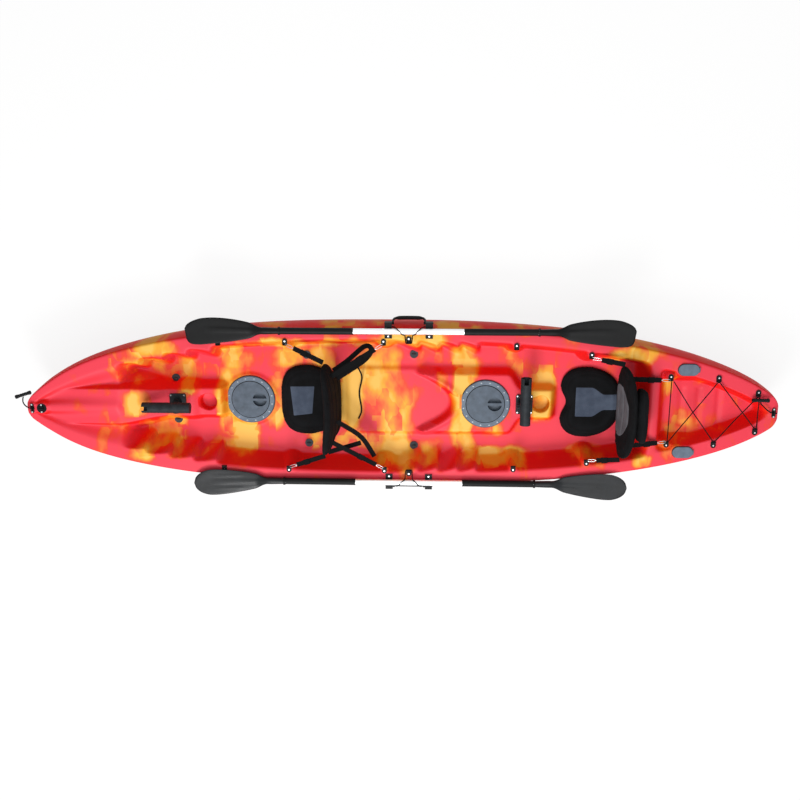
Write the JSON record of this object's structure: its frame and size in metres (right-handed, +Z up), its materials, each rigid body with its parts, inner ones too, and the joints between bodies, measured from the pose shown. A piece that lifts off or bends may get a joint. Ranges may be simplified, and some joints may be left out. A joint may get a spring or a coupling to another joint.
{
  "type": "tandem kayak",
  "caption": "Sit-on-top tandem kayak with padded seats, round hatches, rod holders, carry handles and paddles held along its sides.",
  "frame": {"origin": "on the keel's flat, midway between bow and stern", "axes": "+X to the bow, +Y to port, +Z up"},
  "size_m": [3.765, 0.9324, 0.4512],
  "materials": {
    "hull_polyethylene": "rotomoulded red, orange and yellow blend, satin",
    "hatch_plastic": "slate grey, satin",
    "rubber": "black, soft",
    "stainless": "bright stainless",
    "black_plastic": "moulded black, satin",
    "rod_plastic": "dark grey, satin",
    "cord": "braided black cord",
    "webbing": "woven black webbing",
    "seat_fabric": "black woven cover with grey panels",
    "shaft_aluminium": "bare drawn tube",
    "blade_grey": "dark grey, ribbed",
    "blade_black": "black, satin",
    "grip_sleeve": "black shrink sleeve"
  },
  "bodies": {
    "boat": {"hull": "hull_polyethylene", "front_hatch_ring": "hatch_plastic", "rear_hatch_ring": "hatch_plastic", "hatch_screws": "stainless", "drain_flange": "black_plastic", "padeyes": "black_plastic", "side_brackets": "black_plastic", "port_paddle_keeper": "cord", "starboard_paddle_keeper": "cord", "deck_loops": "black_plastic", "deck_screws": "stainless", "tank_shock_cord": "cord", "scupper_plugs": "rubber", "front_rod_base": "rod_plastic", "rear_rod_base": "rod_plastic", "port_rod_socket": "black_plastic", "starboard_rod_socket": "black_plastic", "front_seat_pad": "seat_fabric", "rear_seat_pad": "seat_fabric", "front_seat_straps": "webbing", "rear_seat_straps": "webbing", "front_seat_hooks": "stainless", "rear_seat_hooks": "stainless"},
    "front_seal": {"front_hatch_seal": "rubber"},
    "front_lid": {"front_hatch_lid": "hatch_plastic"},
    "rear_seal": {"rear_hatch_seal": "rubber"},
    "rear_lid": {"rear_hatch_lid": "hatch_plastic"},
    "drain_washer": {"drain_gasket": "rubber"},
    "drain": {"drain_plug": "black_plastic"},
    "bow_handle": {"bow_cord": "cord", "bow_toggle": "black_plastic"},
    "stern_handle": {"stern_cord": "cord", "stern_toggle": "black_plastic"},
    "port_side_handle": {"port_handle": "black_plastic"},
    "starboard_side_handle": {"starboard_handle": "black_plastic"},
    "front_rod_swivel": {"front_rod_post": "rod_plastic"},
    "front_rod_holder": {"front_rod_tube": "rod_plastic"},
    "front_rod_clamp": {"front_rod_knob": "rod_plastic"},
    "rear_rod_swivel": {"rear_rod_post": "rod_plastic"},
    "rear_rod_holder": {"rear_rod_tube": "rod_plastic"},
    "rear_rod_clamp": {"rear_rod_knob": "rod_plastic"},
    "port_cap": {"port_rod_cap": "hatch_plastic"},
    "starboard_cap": {"starboard_rod_cap": "hatch_plastic"},
    "front_back": {"front_backrest": "seat_fabric"},
    "rear_back": {"rear_backrest": "seat_fabric", "rear_pocket": "seat_fabric"},
    "port_paddle_front": {"port_paddle_shaft_fore": "shaft_aluminium", "port_paddle_blade_fore": "blade_grey", "port_paddle_grip_fore": "grip_sleeve"},
    "port_paddle_rear": {"port_paddle_shaft_aft": "shaft_aluminium", "port_paddle_blade_aft": "blade_grey", "port_paddle_grip_aft": "grip_sleeve"},
    "port_button": {"port_paddle_button": "stainless"},
    "starboard_paddle_front": {"starboard_paddle_shaft_fore": "shaft_aluminium", "starboard_paddle_blade_fore": "blade_black", "starboard_paddle_grip_fore": "grip_sleeve"},
    "starboard_paddle_rear": {"starboard_paddle_shaft_aft": "shaft_aluminium", "starboard_paddle_blade_aft": "blade_black", "starboard_paddle_grip_aft": "grip_sleeve"},
    "starboard_button": {"starboard_paddle_button": "stainless"}
  },
  "joints": [
    {"name": "front_lid_lift", "type": "slide", "parent": "boat", "child": "front_seal", "axis": [0, 0, 1], "range_m": [0, 0.04]},
    {"name": "front_lid_turn", "type": "hinge", "parent": "front_seal", "child": "front_lid", "pos_m": [0.765, 0, 0.157], "axis": [0, 0, 1], "range_deg": [0, 90]},
    {"name": "rear_lid_lift", "type": "slide", "parent": "boat", "child": "rear_seal", "axis": [0, 0, 1], "range_m": [0, 0.04]},
    {"name": "rear_lid_turn", "type": "hinge", "parent": "rear_seal", "child": "rear_lid", "pos_m": [-0.433, 0, 0.203], "axis": [0, 0, 1], "range_deg": [0, 90]},
    {"name": "drain_lift", "type": "slide", "parent": "boat", "child": "drain_washer", "axis": [0, 0, 1], "range_m": [0, 0.016]},
    {"name": "drain_turn", "type": "hinge", "parent": "drain_washer", "child": "drain", "pos_m": [1.778, 0, 0.358], "axis": [0, 0, 1], "range_deg": [0, 1440]},
    {"name": "bow_handle_swing", "type": "hinge", "parent": "boat", "child": "bow_handle", "pos_m": [1.826, 0, 0.36581], "axis": [-1, 0, 0], "range_deg": [0, 100]},
    {"name": "stern_handle_swing", "type": "hinge", "parent": "boat", "child": "stern_handle", "pos_m": [-1.83, 0, 0.32277], "axis": [-1, 0, 0], "range_deg": [0, 100]},
    {"name": "port_handle_swing", "type": "hinge", "parent": "boat", "child": "port_side_handle", "pos_m": [-0.05, 0.424, 0.264], "axis": [1, 0, 0], "range_deg": [0, 120]},
    {"name": "starboard_handle_swing", "type": "hinge", "parent": "boat", "child": "starboard_side_handle", "pos_m": [-0.05, -0.424, 0.264], "axis": [-1, 0, 0], "range_deg": [0, 120]},
    {"name": "front_rod_turn", "type": "hinge", "parent": "boat", "child": "front_rod_swivel", "pos_m": [1.121, 0, 0.239], "axis": [0, 0, 1], "continuous": true},
    {"name": "front_rod_tilt", "type": "hinge", "parent": "front_rod_swivel", "child": "front_rod_holder", "pos_m": [1.121, 0, 0.284], "axis": [0, -1, 0], "range_deg": [0, 35]},
    {"name": "front_rod_knob_turn", "type": "hinge", "parent": "front_rod_swivel", "child": "front_rod_clamp", "pos_m": [1.121, 0, 0.284], "axis": [0, 1, 0], "range_deg": [0, 270]},
    {"name": "rear_rod_turn", "type": "hinge", "parent": "boat", "child": "rear_rod_swivel", "pos_m": [-0.628, 0, 0.204], "axis": [0, 0, 1], "continuous": true},
    {"name": "rear_rod_tilt", "type": "hinge", "parent": "rear_rod_swivel", "child": "rear_rod_holder", "pos_m": [-0.628, 0, 0.249], "axis": [-1, 0, 0], "range_deg": [0, 35]},
    {"name": "rear_rod_knob_turn", "type": "hinge", "parent": "rear_rod_swivel", "child": "rear_rod_clamp", "pos_m": [-0.628, 0, 0.249], "axis": [1, 0, 0], "range_deg": [0, 270]},
    {"name": "port_cap_flip", "type": "hinge", "parent": "boat", "child": "port_cap", "pos_m": [-1.46, 0.21081, 0.311], "axis": [0, -1, 0], "range_deg": [0, 140]},
    {"name": "starboard_cap_flip", "type": "hinge", "parent": "boat", "child": "starboard_cap", "pos_m": [-1.46, -0.21081, 0.311], "axis": [0, -1, 0], "range_deg": [0, 140]},
    {"name": "front_back_fold", "type": "hinge", "parent": "boat", "child": "front_back", "pos_m": [0.329, 0, 0.16917], "axis": [0, 1, 0], "range_deg": [0, 60], "deforming": ["front_seat_straps"]},
    {"name": "rear_back_fold", "type": "hinge", "parent": "boat", "child": "rear_back", "pos_m": [-1.084, 0, 0.16917], "axis": [0, 1, 0], "range_deg": [0, 60], "deforming": ["rear_seat_straps"]},
    {"name": "port_paddle_slide", "type": "slide", "parent": "boat", "child": "port_paddle_front", "axis": [1, 0, 0], "range_m": [-0.04, 0.04]},
    {"name": "port_paddle_feather", "type": "hinge", "parent": "port_paddle_front", "child": "port_paddle_rear", "pos_m": [-0.05, 0.39, 0.3048], "axis": [-1, 0, 0], "range_deg": [0, 60]},
    {"name": "port_button_press", "type": "slide", "parent": "port_paddle_rear", "child": "port_button", "axis": [0, 0, -1], "range_m": [0, 0.003], "stiffness_N_per_m": 400},
    {"name": "starboard_paddle_slide", "type": "slide", "parent": "boat", "child": "starboard_paddle_front", "axis": [1, 0, 0], "range_m": [-0.04, 0.04]},
    {"name": "starboard_paddle_feather", "type": "hinge", "parent": "starboard_paddle_front", "child": "starboard_paddle_rear", "pos_m": [-0.05, -0.39, 0.3048], "axis": [1, 0, 0], "range_deg": [0, 60]},
    {"name": "starboard_button_press", "type": "slide", "parent": "starboard_paddle_rear", "child": "starboard_button", "axis": [0, 0, -1], "range_m": [0, 0.003], "stiffness_N_per_m": 400}
  ],
  "couplings": [
    {"joint": "drain_turn", "follows": "drain_lift", "rad_per_m": 1570.8}
  ]
}
